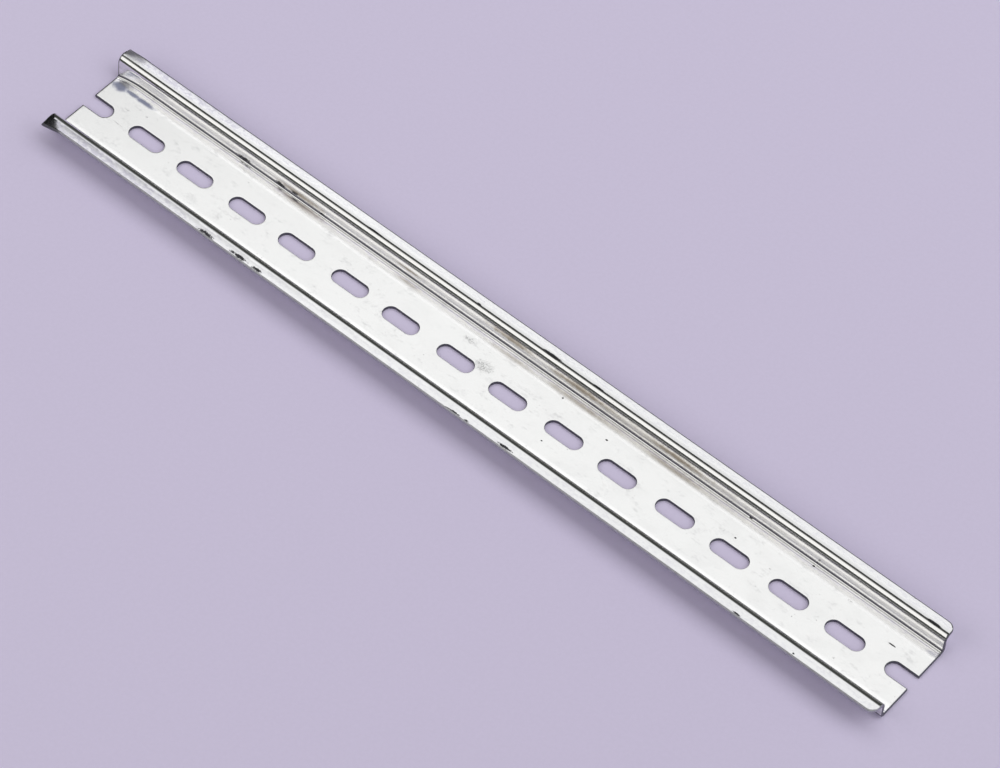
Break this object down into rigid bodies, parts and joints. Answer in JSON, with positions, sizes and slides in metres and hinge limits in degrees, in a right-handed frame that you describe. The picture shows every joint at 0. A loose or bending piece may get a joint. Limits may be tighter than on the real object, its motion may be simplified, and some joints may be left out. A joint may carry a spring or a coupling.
{
  "type": "slotted mounting rail",
  "caption": "Zinc-plated steel top-hat rail: a flat web punched with slots between upright flanges with outturned lips, which electrical devices clip onto.",
  "frame": {"origin": "middle of the web's underside, which is the bottom centre of the rail's box", "axes": "+X along the rail towards the end where the lips have round corners, +Y across the web, +Z out from the mounting surface towards the lips"},
  "size_m": [0.285, 0.035, 0.0075],
  "materials": {
    "zinc_plated_steel": "bright zinc plate over cold-rolled strip, faintly cloudy, with hairline scratches and a few dark specks and stains along the bends"
  },
  "bodies": {
    "root": {"rail": "zinc_plated_steel"}
  },
  "joints": []
}
